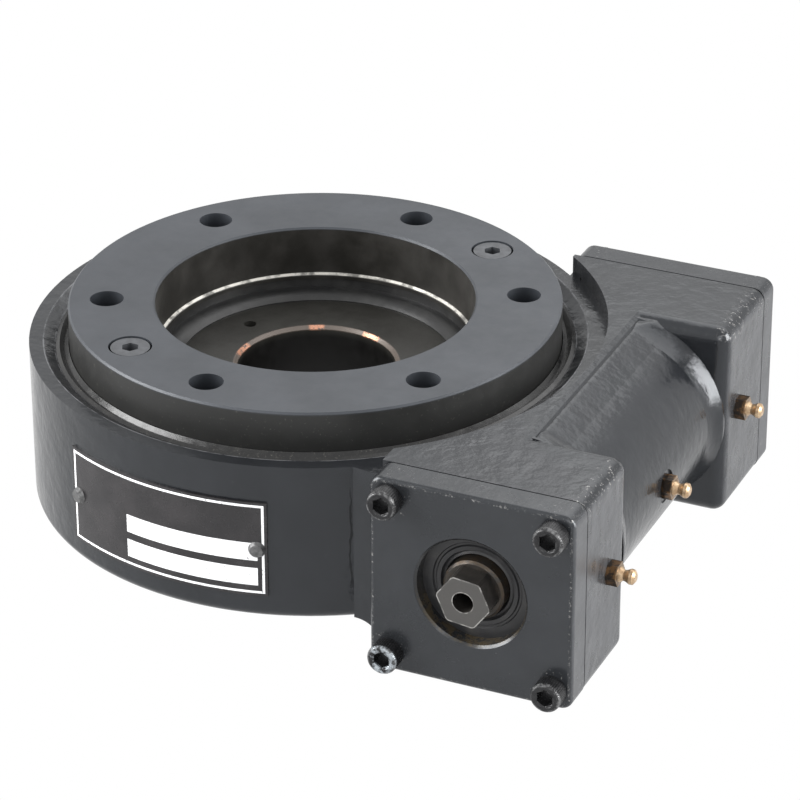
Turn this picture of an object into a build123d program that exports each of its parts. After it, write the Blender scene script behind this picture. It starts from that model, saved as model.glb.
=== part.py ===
"""Solar slew drive: a worm-driven turntable bearing with a single worm on tapered roller bearings.

The slewing axis is Z through the origin and the bottom mounting face is z = 0.  The worm runs
along Y at x = CENTRES, z = WORM_Z; its hex drive end and the input cap face -Y.
Millimetres throughout.
"""
from build123d import *
from math import asin, atan2, cos, degrees, pi, radians, sin, sqrt, tan
import os

os.makedirs("parts", exist_ok=True)

# ---------------------------------------------------------------- driving dimensions
HEIGHT = 74.0            # mounting face to top of the output ring
CENTRES = 94.0           # slewing axis to worm axis
WORM_PITCH_R = 16.5
TEETH = 62               # ring gear teeth, one worm start
FACE_W = 20.0            # ring gear face width
PRESSURE = 22.0          # flank angle, degrees
BACKLASH = 0.3           # per flank
DRUM_WALL = 12.0         # housing wall outside the ring gear chamber
RIM_Z = 62.0             # top of the drum
RING_WIDTH = 28.1        # output ring, bore to outside
BOLT_EDGE = 12.5         # outside of the ring to the bolt circle (135 mm circle)
BOLT_HOLE_R = 5.5
BOLT_DEPTH = 20.0
BOLT_ANGLE = 25.0        # first fixing hole, from +X
PLUG_ANGLE = 55.0        # first of the two low-head screws in the ring
PLUG_HEAD_R = 6.3
PAD_STEP = 17.0          # drum outside to the raised mounting pad
PAD_H = 8.0
BASE_EDGE = 11.0         # pad outside to its bolt circle (130 mm circle)
BASE_DRILL_R = 4.25      # M10 tapping drill
WORM_Z = 34.5            # height of the worm axis
BLOCK = 67.0             # square end blocks and caps
BLOCK_FILLET = 4.5
BARREL_R = 30.5          # round barrel between the end blocks
CAP_T = 10.0             # end cap thickness
GASKET_T = 0.5
FRONT_LAND = 10.2        # input block past the drum
REAR_LAND = 3.9          # rear block past the drum
FRONT_LEN = 32.8         # length of the input block
REAR_LEN = 34.5
BALL_R = 5.0
BALLS = 26
RACE_WEB = 17.5          # wheel pitch radius to ball track radius
BALL_TRACK_Z = 32.0
HUB_TOP = 50.0
HUB_BORE_R = 26.0
SHAFT_R = 12.5           # worm shaft in the bearings
NECK_R = 10.0            # worm shaft under the oil seal
HEX_AF = 15.6            # drive hexagon across flats
HEX_CORNER_R = 8.7       # turned corners of the hexagon
HEX_PROUD = 5.7          # hexagon past the input cap
BEARING_R = 23.5         # bearing cup outside
BEARING_W = 15.0
ROLLERS = 13
FRONT_SPACER = 5.8       # machined face to bearing cup
REAR_SHIM = 3.5
SEAL_OR = 18.0
SEAL_DEPTH = 5.4         # oil seal behind the cap's front face
CAP_PITCH = 54.0         # cap screw square
CAP_SCREW_R = 2.5
CAP_HEAD_R = 5.0
CAP_GRIP = 5.5           # screw thread in the block
PLATE_ANGLE = -97.0      # middle of the nameplate
PLATE_HALF = 22.8
PLATE_Z = 33.0
PLATE_H = 33.0
PLATE_T = 0.8

# clearances
RUN = 0.05               # running fit on a radius
GAP = 0.3                # between pieces that turn past each other

# ---------------------------------------------------------------- derived sizes
PITCH_R = CENTRES - WORM_PITCH_R
MODULE = 2 * PITCH_R / TEETH
TIP_R = PITCH_R + 0.92 * MODULE
ROOT_R = PITCH_R - 1.12 * MODULE
LEAD_ANGLE = degrees(atan2(MODULE / 2, WORM_PITCH_R))
HALF_SPACE = pi * MODULE / 4
CAVITY_R = TIP_R + 1.2           # ring gear chamber
DRUM_R = CAVITY_R + DRUM_WALL
RING_R = CAVITY_R - 1.0
RING_BORE_R = RING_R - RING_WIDTH
BOLT_R = RING_R - BOLT_EDGE
PAD_R = DRUM_R - PAD_STEP
BASE_BOLT_R = PAD_R - BASE_EDGE
FLOOR_Z = PAD_H + 9.0            # inside floor of the drum
BALL_TRACK_R = PITCH_R - RACE_WEB
WORM_BORE_R = BEARING_R + 0.7    # worm chamber in the barrel
HUB_R = BALL_TRACK_R - 1.4
HUB_SPIGOT_R = HUB_R - 12.6
HUB_SCREW_R = (HUB_R + HUB_SPIGOT_R) / 2
HUB_SCREW_ANGLE = BOLT_ANGLE + 30
FILLER_ANGLE = HUB_SCREW_ANGLE - 90
RACE_BORE_R = BALL_TRACK_R + 1.4
FLANGE_Z = HUB_TOP + 5.5         # underside of the output ring flange
SEAL_SEAT_R = RING_R + 4.4
SEAL_Z = RIM_Z - 7.0
DRUM_REACH = sqrt(DRUM_R ** 2 - (CENTRES - BLOCK / 2) ** 2)
FRONT_Y, REAR_Y = -(DRUM_REACH + FRONT_LAND), DRUM_REACH + REAR_LAND
FRONT_BACK_Y, REAR_FRONT_Y = FRONT_Y + FRONT_LEN, REAR_Y - REAR_LEN
FRONT_BEARING_Y, REAR_BEARING_Y = FRONT_Y + FRONT_SPACER, REAR_Y - REAR_SHIM
BLOCK_LO, BLOCK_HI = WORM_Z - BLOCK / 2, WORM_Z + BLOCK / 2
CAP_FRONT_Y = FRONT_Y - GASKET_T - CAP_T
CAP_REAR_Y = REAR_Y + GASKET_T + CAP_T
HEX_END_Y = CAP_FRONT_Y - HEX_PROUD
CORNERS = [(sx * CAP_PITCH / 2, sz * CAP_PITCH / 2) for sx in (-1, 1) for sz in (-1, 1)]


def along_y(y, x=CENTRES, z=WORM_Z):
    """Sketch plane square to the worm axis, extruding toward +Y; local x = +X, local y = -Z."""
    return Plane(origin=(x, y, z), x_dir=(1, 0, 0), z_dir=(0, 1, 0))


def along_x(x, y, z):
    """Sketch plane extruding toward +X; local x = +Y, local y = +Z."""
    return Plane(origin=(x, y, z), x_dir=(0, 1, 0), z_dir=(1, 0, 0))


def radial(angle, r, z):
    """Sketch plane at that angle and radius from the slewing axis, facing outwards."""
    c, s = cos(radians(angle)), sin(radians(angle))
    return Plane(origin=(r * c, r * s, z), x_dir=(-s, c, 0), z_dir=(c, s, 0))


def shaft_profile(points):
    """Revolve (radius, y) points round the worm axis; used inside a BuildPart."""
    half = Plane(origin=(CENTRES, 0, WORM_Z), x_dir=(1, 0, 0), z_dir=(0, 0, 1))
    with BuildSketch(half) as profile:
        with BuildLine():
            Polyline(*points, close=True)
        make_face()
    revolve(profile.sketch, axis=Axis((CENTRES, 0, WORM_Z), (0, 1, 0)))


def turned(points, mode=Mode.ADD):
    """Revolve (radius, z) points round the slewing axis; used inside a BuildPart."""
    with BuildSketch(Plane.XZ) as profile:
        with BuildLine():
            Polyline(*points, close=True)
        make_face()
    revolve(profile.sketch, axis=Axis.Z, mode=mode)


def save(solid, name):
    """Label a finished piece and write it to parts/."""
    solid.label = name
    export_step(solid, f"parts/{name}.step")


# ---------------------------------------------------------------- housing casting
with BuildPart() as blocks:                          # square end blocks with rounded cast edges
    for y0, length in ((FRONT_Y, FRONT_LEN), (REAR_FRONT_Y, REAR_LEN)):
        with BuildSketch(along_y(y0)):
            Rectangle(BLOCK, BLOCK)
        extrude(amount=length)
    outer_x = CENTRES + BLOCK / 2
    inner_x, top_z = CENTRES - BLOCK / 2, WORM_Z + BLOCK / 2
    inner_faces = blocks.faces().filter_by(Axis.Y).sort_by(Axis.Y)[1:3]
    rounded = blocks.edges().filter_by(Axis.Y).filter_by(lambda e: abs(e.center().X - outer_x) < 0.1)
    rounded += inner_faces.edges().filter_by(lambda e: e.center().X > CENTRES - 0.1)
    fillet(rounded, radius=BLOCK_FILLET)

FLARE = 2.6                                          # collar of the barrel at the blocks
WEB_PAST = 3.0                                       # web edge past the worm axis
BLEND = 11.0                                         # cast blend from the drum into the input block
with BuildPart() as blend:
    with BuildSketch(Plane.XY.offset(BLOCK_LO)):     # plan of the blend
        near_x = CENTRES - BLOCK / 2 - BLEND
        Polygon((near_x, -sqrt(DRUM_R ** 2 - near_x ** 2)), (CENTRES - BLOCK / 2 + 1, FRONT_Y + 0.4),
                (CENTRES - BLOCK / 2 + 1, FRONT_Y + 2 * BLEND), (near_x, FRONT_Y + 2 * BLEND), align=None)
    extrude(amount=RIM_Z - BLOCK_LO)
    with BuildSketch(Plane(origin=(CENTRES - BLOCK / 2, 0, 0), x_dir=(1, 0, 0), z_dir=(0, -1, 0))):
        with BuildLine():
            Polyline((-BLEND - 1, BLOCK_LO - 1), (0, BLOCK_LO - 1), (0, BLOCK_LO + 1))
            ThreePointArc((0, BLOCK_LO + 1), (-0.3 * BLEND, PAD_H - 1.5), (-BLEND - 1, PAD_H + 0.4))
            Line((-BLEND - 1, PAD_H + 0.4), (-BLEND - 1, BLOCK_LO - 1))
        make_face()
    extrude(amount=2 * DRUM_R, mode=Mode.SUBTRACT)

with BuildPart() as housing:
    with BuildSketch(Plane.XY.offset(PAD_H)):
        Circle(DRUM_R)
    extrude(amount=RIM_Z - PAD_H)
    fillet(housing.edges().filter_by(GeomType.CIRCLE).group_by(Axis.Z)[0], radius=3.5)
    with BuildSketch(Plane.XY):
        Circle(PAD_R)
    extrude(amount=PAD_H)
    add(blocks.part)
    add(blend.part)
    with BuildSketch(along_y(FRONT_BACK_Y)):         # barrel
        Circle(BARREL_R)
    extrude(amount=REAR_FRONT_Y - FRONT_BACK_Y)
    for y, into in ((FRONT_BACK_Y, 1), (REAR_FRONT_Y, -1)):
        with BuildSketch(Plane(origin=(CENTRES, 0, WORM_Z), x_dir=(1, 0, 0), z_dir=(0, 0, 1))):
            with BuildLine():
                Polyline((BARREL_R, y + into * 3 * FLARE), (BARREL_R - 4, y + into * 3 * FLARE),
                         (BARREL_R - 4, y - into), (BARREL_R + FLARE, y - into),
                         (BARREL_R + FLARE, y))
                ThreePointArc((BARREL_R + FLARE, y), (BARREL_R + 0.55 * FLARE, y + into * 0.9 * FLARE),
                              (BARREL_R, y + into * 3 * FLARE))
            make_face()
        revolve(axis=Axis((CENTRES, 0, WORM_Z), (0, 1, 0)))
    with BuildSketch(Plane(origin=(0, FRONT_BACK_Y - 7, 0), x_dir=(1, 0, 0), z_dir=(0, -1, 0))):
        with BuildLine():                            # cast web, flush with the tops of the blocks
            edge_x = CENTRES + WEB_PAST
            Polyline((inner_x, PAD_H + 4), (inner_x, top_z), (edge_x - 2, top_z), (edge_x - 0.4, top_z - 0.7),
                     (edge_x + 2, WORM_Z + BARREL_R - 0.8), (edge_x + 2, PAD_H + 4), close=True)
        make_face()
    extrude(amount=-(REAR_FRONT_Y - FRONT_BACK_Y + 14))
    with BuildSketch(Plane.XY.offset(RIM_Z)):        # clear the turning ring above the rim
        Circle(DRUM_R + 1.8)
    extrude(amount=HEIGHT - RIM_Z, mode=Mode.SUBTRACT)
    turned([(0, FLOOR_Z), (CAVITY_R, FLOOR_Z), (CAVITY_R, SEAL_Z), (SEAL_SEAT_R, SEAL_Z),
            (SEAL_SEAT_R, RIM_Z - 2.2), (SEAL_SEAT_R + 3.9, RIM_Z), (SEAL_SEAT_R + 3.9, RIM_Z + 1),
            (0, RIM_Z + 1)], mode=Mode.SUBTRACT)
    with BuildSketch(Plane.XY):
        Circle(HUB_SPIGOT_R)
    extrude(amount=FLOOR_Z, mode=Mode.SUBTRACT)
    with BuildSketch(along_y(FRONT_Y)):              # line-bored bearing seats
        Circle(BEARING_R + 0.01)
    extrude(amount=REAR_Y - FRONT_Y, mode=Mode.SUBTRACT)
    with BuildSketch(along_y(FRONT_BEARING_Y + BEARING_W)):
        Circle(WORM_BORE_R)
    extrude(amount=REAR_BEARING_Y - FRONT_BEARING_Y - 2 * BEARING_W, mode=Mode.SUBTRACT)
    for y, sign in ((FRONT_Y, 1), (REAR_Y, -1)):     # M6 cap screw holes
        with BuildSketch(along_y(y)):
            with Locations(*CORNERS):
                Circle(CAP_SCREW_R)
        extrude(amount=sign * (CAP_GRIP + 0.1), mode=Mode.SUBTRACT)
    with BuildSketch(Plane.XY):                      # M10 mounting holes
        with PolarLocations(BASE_BOLT_R, 6, start_angle=BOLT_ANGLE):
            Circle(BASE_DRILL_R)
    extrude(amount=14, mode=Mode.SUBTRACT)
    with BuildSketch(Plane.XY):                      # hub screws from below
        with PolarLocations(HUB_SCREW_R, 6, start_angle=HUB_SCREW_ANGLE):
            Circle(5.4)
    extrude(amount=7, mode=Mode.SUBTRACT)
    with BuildSketch(Plane.XY):
        with PolarLocations(HUB_SCREW_R, 6, start_angle=HUB_SCREW_ANGLE):
            Circle(3.2)
    extrude(amount=FLOOR_Z, mode=Mode.SUBTRACT)

# grease nipple seats on the +X side: (x, y, z)
NIPPLES = [(CENTRES + BLOCK / 2, FRONT_Y + 18.8, WORM_Z), (CENTRES + BARREL_R - 0.8, -5.0, WORM_Z),
           (CENTRES + BLOCK / 2, REAR_Y - 22.5, WORM_Z + 1.5)]
RIVET_R = 1.55
with BuildPart() as casting:
    add(housing.part)
    for seat in NIPPLES:
        with BuildSketch(along_x(*seat)):
            Circle(5.5)
        extrude(amount=4, mode=Mode.SUBTRACT)
        with BuildSketch(along_x(*seat)):
            Circle(2.6)
        extrude(amount=-12, mode=Mode.SUBTRACT)
    for side in (-1, 1):                             # nameplate rivet holes
        with BuildSketch(radial(PLATE_ANGLE + side * (PLATE_HALF - 2.0), DRUM_R, PLATE_Z)):
            Circle(RIVET_R + RUN)
        extrude(amount=-6, mode=Mode.SUBTRACT)
save(casting.part, "housing")

# ---------------------------------------------------------------- fixed hub and inner race
GROOVE_R = BALL_R + 0.1
FILLER_R = GROOVE_R + 0.1
PIN_AT = HUB_R - 9.0                                 # locking pin across the filler plug
PIN_R = 1.5


def at(angle, r):
    """Plan point at that angle and radius."""
    return r * cos(radians(angle)), r * sin(radians(angle))


with BuildPart() as hub:
    turned([(HUB_BORE_R, PAD_H), (HUB_BORE_R, HUB_TOP - 1.0), (HUB_BORE_R + 1.0, HUB_TOP), (HUB_R, HUB_TOP),
            (HUB_R, FLOOR_Z), (HUB_SPIGOT_R - 0.02, FLOOR_Z), (HUB_SPIGOT_R - 0.02, PAD_H)])
    with BuildSketch(Plane.XZ):                      # ball groove
        with Locations((BALL_TRACK_R, BALL_TRACK_Z)):
            Circle(GROOVE_R)
    revolve(axis=Axis.Z, mode=Mode.SUBTRACT)
    with BuildSketch(Plane.XY.offset(FLOOR_Z)):      # M6 hub screw holes
        with PolarLocations(HUB_SCREW_R, 6, start_angle=HUB_SCREW_ANGLE):
            Circle(CAP_SCREW_R)
    extrude(amount=8, mode=Mode.SUBTRACT)
    with BuildSketch(Plane.XY.offset(HUB_TOP)):      # small tapped hole in the hub floor
        with Locations(at(153, HUB_BORE_R + 10)):
            Circle(2.1)
    extrude(amount=-12, mode=Mode.SUBTRACT)
    with BuildSketch(radial(FILLER_ANGLE, HUB_BORE_R - 2, BALL_TRACK_Z)):
        Circle(FILLER_R)                             # ball filler hole
    extrude(amount=HUB_R - HUB_BORE_R + 3, mode=Mode.SUBTRACT)
    with BuildSketch(Plane.XY.offset(FLOOR_Z)):      # pin hole up into the filler
        with Locations(at(FILLER_ANGLE, PIN_AT)):
            Circle(PIN_R)
    extrude(amount=BALL_TRACK_Z - FLOOR_Z, mode=Mode.SUBTRACT)
save(hub.part, "inner_hub")

with BuildPart() as filler:
    with BuildSketch(radial(FILLER_ANGLE, HUB_BORE_R + 0.6, BALL_TRACK_Z)):
        Circle(FILLER_R - 0.02)
    extrude(amount=HUB_R - HUB_BORE_R - 0.7)
    with BuildSketch(Plane.XZ):
        with Locations((BALL_TRACK_R, BALL_TRACK_Z)):
            Circle(GROOVE_R)
    revolve(axis=Axis.Z, mode=Mode.SUBTRACT)
    with BuildSketch(Plane.XY.offset(FLOOR_Z)):
        with Locations(at(FILLER_ANGLE, PIN_AT)):
            Circle(PIN_R)
    extrude(amount=BALL_TRACK_Z - FLOOR_Z, mode=Mode.SUBTRACT)
save(filler.part, "ball_filler_plug")

with BuildPart() as pin:
    with BuildSketch(Plane.XY.offset(FLOOR_Z + 0.2)):
        with Locations(at(FILLER_ANGLE, PIN_AT)):
            Circle(PIN_R - 0.01)
    extrude(amount=BALL_TRACK_Z - FLOOR_Z - 0.5)
save(pin.part, "filler_pin")

with BuildPart() as hub_screws:
    with BuildSketch(Plane.XY.offset(1.0)):
        with PolarLocations(HUB_SCREW_R, 6, start_angle=HUB_SCREW_ANGLE):
            Circle(5.0)
    extrude(amount=6)
    with BuildSketch(Plane.XY.offset(1.0)):
        with PolarLocations(HUB_SCREW_R, 6, start_angle=HUB_SCREW_ANGLE):
            RegularPolygon(2.5, 6, major_radius=False)
    extrude(amount=3, mode=Mode.SUBTRACT)
    with BuildSketch(Plane.XY.offset(7.0)):
        with PolarLocations(HUB_SCREW_R, 6, start_angle=HUB_SCREW_ANGLE):
            Circle(2.5)
    extrude(amount=FLOOR_Z - 7 + 7)
save(hub_screws.part, "hub_screws")

# ---------------------------------------------------------------- output ring with worm wheel teeth
GEAR_LO, GEAR_HI = WORM_Z - FACE_W / 2, WORM_Z + FACE_W / 2
face_plane = Plane(origin=(0, 0, WORM_Z), x_dir=(1, 0, 0), z_dir=(0, sin(radians(LEAD_ANGLE)),
                                                                  cos(radians(LEAD_ANGLE))))
with BuildPart() as tooth_space:                     # one straight-flanked tooth space
    with BuildSketch(face_plane.offset(-FACE_W / 2 - 2)) as flank:
        with BuildLine():
            half = HALF_SPACE + BACKLASH / 2
            lo = half - (PITCH_R - ROOT_R) * tan(radians(PRESSURE))
            hi = half + (TIP_R + 1 - PITCH_R) * tan(radians(PRESSURE))
            Polyline((ROOT_R, -lo), (TIP_R + 1, -hi), (TIP_R + 1, hi), (ROOT_R, lo), close=True)
        make_face()
    extrude(amount=FACE_W + 4)

with BuildPart() as ring:
    turned([(RACE_BORE_R, FLOOR_Z + 4), (TIP_R - 3, FLOOR_Z + 4), (TIP_R, GEAR_LO), (TIP_R, GEAR_HI),
            (ROOT_R - 0.2, GEAR_HI + 3), (ROOT_R - 0.2, SEAL_Z - 4), (RING_R, SEAL_Z - 2),
            (RING_R, HEIGHT - 0.6), (RING_R - 0.6, HEIGHT),
            (RING_BORE_R + 0.6, HEIGHT), (RING_BORE_R, HEIGHT - 0.6), (RING_BORE_R, FLANGE_Z + 1.9),
            (RING_BORE_R - 1.1, FLANGE_Z + 1.1), (RING_BORE_R - 1.1, FLANGE_Z), (RACE_BORE_R, FLANGE_Z)])
    with BuildSketch(Plane.XZ):                      # ball groove
        with Locations((BALL_TRACK_R, BALL_TRACK_Z)):
            Circle(GROOVE_R)
    revolve(axis=Axis.Z, mode=Mode.SUBTRACT)
    with PolarLocations(0, TEETH):
        add(tooth_space.part, mode=Mode.SUBTRACT)
    with BuildSketch(Plane.XY.offset(HEIGHT)):       # six fixing holes
        with PolarLocations(BOLT_R, 6, start_angle=BOLT_ANGLE):
            Circle(BOLT_HOLE_R)
    extrude(amount=-BOLT_DEPTH, mode=Mode.SUBTRACT)
    with BuildSketch(Plane.XY.offset(HEIGHT)):       # counterbores of the two low-head screws
        with PolarLocations(BOLT_R, 2, start_angle=PLUG_ANGLE):
            Circle(PLUG_HEAD_R + 0.7)
    extrude(amount=-4.5, mode=Mode.SUBTRACT)
    with BuildSketch(Plane.XY.offset(HEIGHT)):
        with PolarLocations(BOLT_R, 2, start_angle=PLUG_ANGLE):
            Circle(3.4)
    extrude(amount=-19, mode=Mode.SUBTRACT)
save(ring.part, "output_ring")

with BuildPart() as ring_screws:
    with BuildSketch(Plane.XY.offset(HEIGHT - 4.5)):
        with PolarLocations(BOLT_R, 2, start_angle=PLUG_ANGLE):
            Circle(PLUG_HEAD_R)
    extrude(amount=4.2)
    with BuildSketch(Plane.XY.offset(HEIGHT - 0.3)):
        with PolarLocations(BOLT_R, 2, start_angle=PLUG_ANGLE):
            RegularPolygon(2.5, 6, major_radius=False)
    extrude(amount=-3, mode=Mode.SUBTRACT)
    with BuildSketch(Plane.XY.offset(HEIGHT - 4.5)):
        with PolarLocations(BOLT_R, 2, start_angle=PLUG_ANGLE):
            Circle(3.4)
    extrude(amount=-13)
save(ring_screws.part, "ring_screws")

# ---------------------------------------------------------------- balls and their cage
with BuildPart() as balls:
    with PolarLocations(BALL_TRACK_R, BALLS):
        with Locations((0, 0, BALL_TRACK_Z)):
            Sphere(BALL_R)
save(balls.part, "bearing_balls")

with BuildPart() as cage:
    turned([(BALL_TRACK_R - 1.0, BALL_TRACK_Z - 7), (BALL_TRACK_R + 1.0, BALL_TRACK_Z - 7),
            (BALL_TRACK_R + 1.0, BALL_TRACK_Z + 7), (BALL_TRACK_R - 1.0, BALL_TRACK_Z + 7)])
    with PolarLocations(BALL_TRACK_R, BALLS):
        with Locations((0, 0, BALL_TRACK_Z)):
            Cylinder(BALL_R + 0.02, 8, rotation=(0, 90, 0), mode=Mode.SUBTRACT)
save(cage.part, "ball_cage")

# ---------------------------------------------------------------- dust seals
with BuildPart() as outer_seal:
    turned([(RING_R + GAP, SEAL_Z + 0.0), (SEAL_SEAT_R, SEAL_Z), (SEAL_SEAT_R, RIM_Z - 2.2),
            (SEAL_SEAT_R - 1.2, RIM_Z - 1.6), (RING_R + 1.6, RIM_Z - 2.6), (RING_R + GAP, RIM_Z - 1.4)])
save(outer_seal.part, "outer_dust_seal")

SEAL_FOOT_R = RING_BORE_R - 6.9
with BuildPart() as inner_seal:
    with BuildSketch(Plane.XZ):
        with BuildLine():
            Polyline((SEAL_FOOT_R, HUB_TOP + 0.4), (SEAL_FOOT_R, HUB_TOP), (HUB_R - 1.6, HUB_TOP),
                     (HUB_R - 1.6, FLANGE_Z - GAP), (RING_BORE_R - 0.5, FLANGE_Z - GAP),
                     (RING_BORE_R - 0.9, HUB_TOP + 2.7))
            ThreePointArc((RING_BORE_R - 0.9, HUB_TOP + 2.7), (SEAL_FOOT_R + 2.6, HUB_TOP + 2.1),
                          (SEAL_FOOT_R, HUB_TOP + 0.4))
        make_face()
    revolve(axis=Axis.Z)
save(inner_seal.part, "inner_dust_seal")

# ---------------------------------------------------------------- worm shaft
CORE_R = TIP_R + 0.5              # hourglass core follows the wheel tips
THREAD_TOP_R = ROOT_R + 0.5
END_PHI = 19.0                    # thread reaches this far round the wheel, degrees
half_thread = HALF_SPACE - BACKLASH / 2


def half_width(r):
    """Half thickness of the worm thread at wheel radius r."""
    return half_thread + (r - PITCH_R) * tan(radians(PRESSURE))


sections = []
STEPS = 10                        # sections per turn
count = int(2 * END_PHI / (360 / TEETH) * STEPS)
for i in range(count + 1):
    turn = (i - count / 2) / STEPS * 2 * pi
    phi = turn / TEETH
    fade = min(1.0, (i + 0.5) / (0.6 * STEPS), (count - i + 0.5) / (0.6 * STEPS))
    top = CORE_R - 0.2 - (CORE_R - 0.2 - THREAD_TOP_R) * fade
    lo_r, w_top, w_lo = CORE_R + 0.7, half_width(top), half_width(CORE_R + 0.7)
    plane = Plane(origin=(CENTRES, 0, WORM_Z), x_dir=(-cos(turn), 0, sin(turn)),
                  z_dir=Vector(-cos(turn), 0, sin(turn)).cross(Vector(0, 1, 0)))
    pts = []
    for r, w in ((lo_r, -w_lo), (top, -w_top), (top, w_top), (lo_r, w_lo)):
        pts.append((CENTRES - r * cos(phi) + w * sin(phi), r * sin(phi) + w * cos(phi)))
    with BuildSketch(plane) as section:
        with BuildLine():
            Polyline(*pts, close=True)
        make_face()
    sections.append(section.sketch.faces()[0])

with BuildPart() as thread:
    loft(sections=sections)

CORE_Y = CORE_R * sin(radians(END_PHI + 2.5))
SHOULDER_R = SHAFT_R + 2.7
FRONT_CONE_Y, REAR_CONE_Y = FRONT_BEARING_Y + BEARING_W, REAR_BEARING_Y - BEARING_W
NECK_Y = CAP_FRONT_Y + 2.0
core_end_r = CENTRES - CORE_R * cos(radians(END_PHI + 2.5))
with BuildPart() as worm:
    half_plane = Plane(origin=(CENTRES, 0, WORM_Z), x_dir=(1, 0, 0), z_dir=(0, 0, 1))
    with BuildSketch(half_plane):
        with BuildLine():
            Polyline((core_end_r, CORE_Y), (core_end_r - 1.5, CORE_Y + 1.5), (SHOULDER_R, CORE_Y + 4),
                     (SHOULDER_R, REAR_CONE_Y), (SHAFT_R, REAR_CONE_Y), (SHAFT_R, REAR_BEARING_Y + 0.5),
                     (SHAFT_R - 1, REAR_BEARING_Y + 1.5), (0, REAR_BEARING_Y + 1.5), (0, NECK_Y),
                     (NECK_R - 0.8, NECK_Y), (NECK_R, NECK_Y + 0.8), (NECK_R, FRONT_Y),
                     (SHAFT_R, FRONT_Y + 1), (SHAFT_R, FRONT_CONE_Y),
                     (SHOULDER_R, FRONT_CONE_Y), (SHOULDER_R, -CORE_Y - 4), (core_end_r - 1.5, -CORE_Y - 1.5),
                     (core_end_r, -CORE_Y))
            ThreePointArc((core_end_r, -CORE_Y), (CENTRES - CORE_R, 0), (core_end_r, CORE_Y))
        make_face()
    revolve(axis=Axis((CENTRES, 0, WORM_Z), (0, 1, 0)))
    add(thread.part)
    with BuildSketch(along_y(HEX_END_Y)) as hexagon:
        RegularPolygon(HEX_AF / 2, 6, major_radius=False, rotation=6.5)
        Circle(HEX_CORNER_R, mode=Mode.INTERSECT)
    extrude(amount=NECK_Y - HEX_END_Y)
    with BuildSketch(along_y(HEX_END_Y)):            # M8 tapped hole in the hex end
        Circle(3.4)
    extrude(amount=18, mode=Mode.SUBTRACT)
save(worm.part, "worm_shaft")


# ---------------------------------------------------------------- tapered roller bearings
def bearing(name, face_y, into):
    """Cup, cone, rollers and cage; face_y is the outer face, into = +1 or -1 points to the worm."""
    rise = 0.2 * BEARING_W                           # taper over the width
    cup_r, cone_r = BEARING_R - 3.1, SHAFT_R + 2.1
    roller_r = (cup_r - cone_r) / 2 - 0.2

    def y(t):
        return face_y + into * t

    with BuildPart() as cup:
        shaft_profile([(BEARING_R, y(0)), (BEARING_R, y(BEARING_W - 3)),
                       (cup_r + rise * 0.8, y(BEARING_W - 3)), (cup_r, y(0))])
    save(cup.part, f"{name}_bearing_cup")
    with BuildPart() as cone:
        shaft_profile([(SHAFT_R, y(1.5)), (SHAFT_R, y(BEARING_W)), (cone_r + rise + 0.6, y(BEARING_W)),
                       (cone_r + rise + 0.6, y(BEARING_W - 1.6)), (cone_r + rise * 0.88, y(BEARING_W - 1.6)),
                       (cone_r, y(1.5))])
    save(cone.part, f"{name}_bearing_cone")
    mid = (cup_r + cone_r) / 2
    slope = degrees(atan2(rise, BEARING_W))
    axis_y, length = y(BEARING_W / 2 - 0.4), BEARING_W - 5.4
    centre_r = mid + rise / 2 - 0.1
    spots = []
    for k in range(ROLLERS):
        t = 360 * k / ROLLERS
        base = Plane(origin=(CENTRES + centre_r * cos(radians(t)), axis_y,
                             WORM_Z + centre_r * sin(radians(t))),
                     x_dir=(sin(radians(t)), 0, -cos(radians(t))),
                     z_dir=(cos(radians(t)) * sin(radians(slope)), into * cos(radians(slope)),
                            sin(radians(t)) * sin(radians(slope))))
        spots.append(base)
    with BuildPart() as rollers:
        for base in spots:
            with BuildSketch(base.offset(-length / 2)):
                Circle(roller_r - 0.12)
            extrude(amount=length)
    save(rollers.part, f"{name}_rollers")
    with BuildPart() as roller_cage:
        r0 = centre_r - rise * 0.5
        shaft_profile([(r0 - 0.5, y(1.8)), (r0 + 0.7, y(1.8)), (r0 + 0.5 + rise, y(BEARING_W - 1.8)),
                       (r0 - 0.3 + rise, y(BEARING_W - 1.8))])
        for base in spots:
            with BuildSketch(base.offset(-length / 2)):
                Circle(roller_r - 0.1)
            extrude(amount=length, mode=Mode.SUBTRACT)
    save(roller_cage.part, f"{name}_roller_cage")


bearing("front", FRONT_BEARING_Y, 1)
bearing("rear", REAR_BEARING_Y, -1)

for name, y0, y1 in (("front_spacer_ring", FRONT_Y - GASKET_T, FRONT_BEARING_Y),
                     ("rear_shim_ring", REAR_BEARING_Y, REAR_Y + GASKET_T)):
    with BuildPart() as spacer:
        with BuildSketch(along_y(y0)):
            Circle(BEARING_R)
            Circle(BEARING_R - 2.9, mode=Mode.SUBTRACT)
        extrude(amount=y1 - y0)
    save(spacer.part, name)


# ---------------------------------------------------------------- end caps, gaskets and screws
def cap(name, y0, bore):
    """Square end cap with four counter-drilled screw holes; bore = 0 leaves it blind."""
    with BuildPart() as plate:
        with BuildSketch(along_y(y0)):
            RectangleRounded(BLOCK, BLOCK, 4.0)
            with Locations(*CORNERS):
                Circle(CAP_SCREW_R + 0.7, mode=Mode.SUBTRACT)
            if bore:
                Circle(bore, mode=Mode.SUBTRACT)
        extrude(amount=CAP_T)
        outside = plate.faces().sort_by(Axis.Y)[0 if bore else -1]
        fillet(outside.outer_wire().edges(), radius=1.6)
        if bore:
            chamfer(outside.edges().filter_by(GeomType.CIRCLE).filter_by(
                lambda e: abs(e.radius - bore) < 0.01), length=0.8)
    save(plate.part, name)


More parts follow.
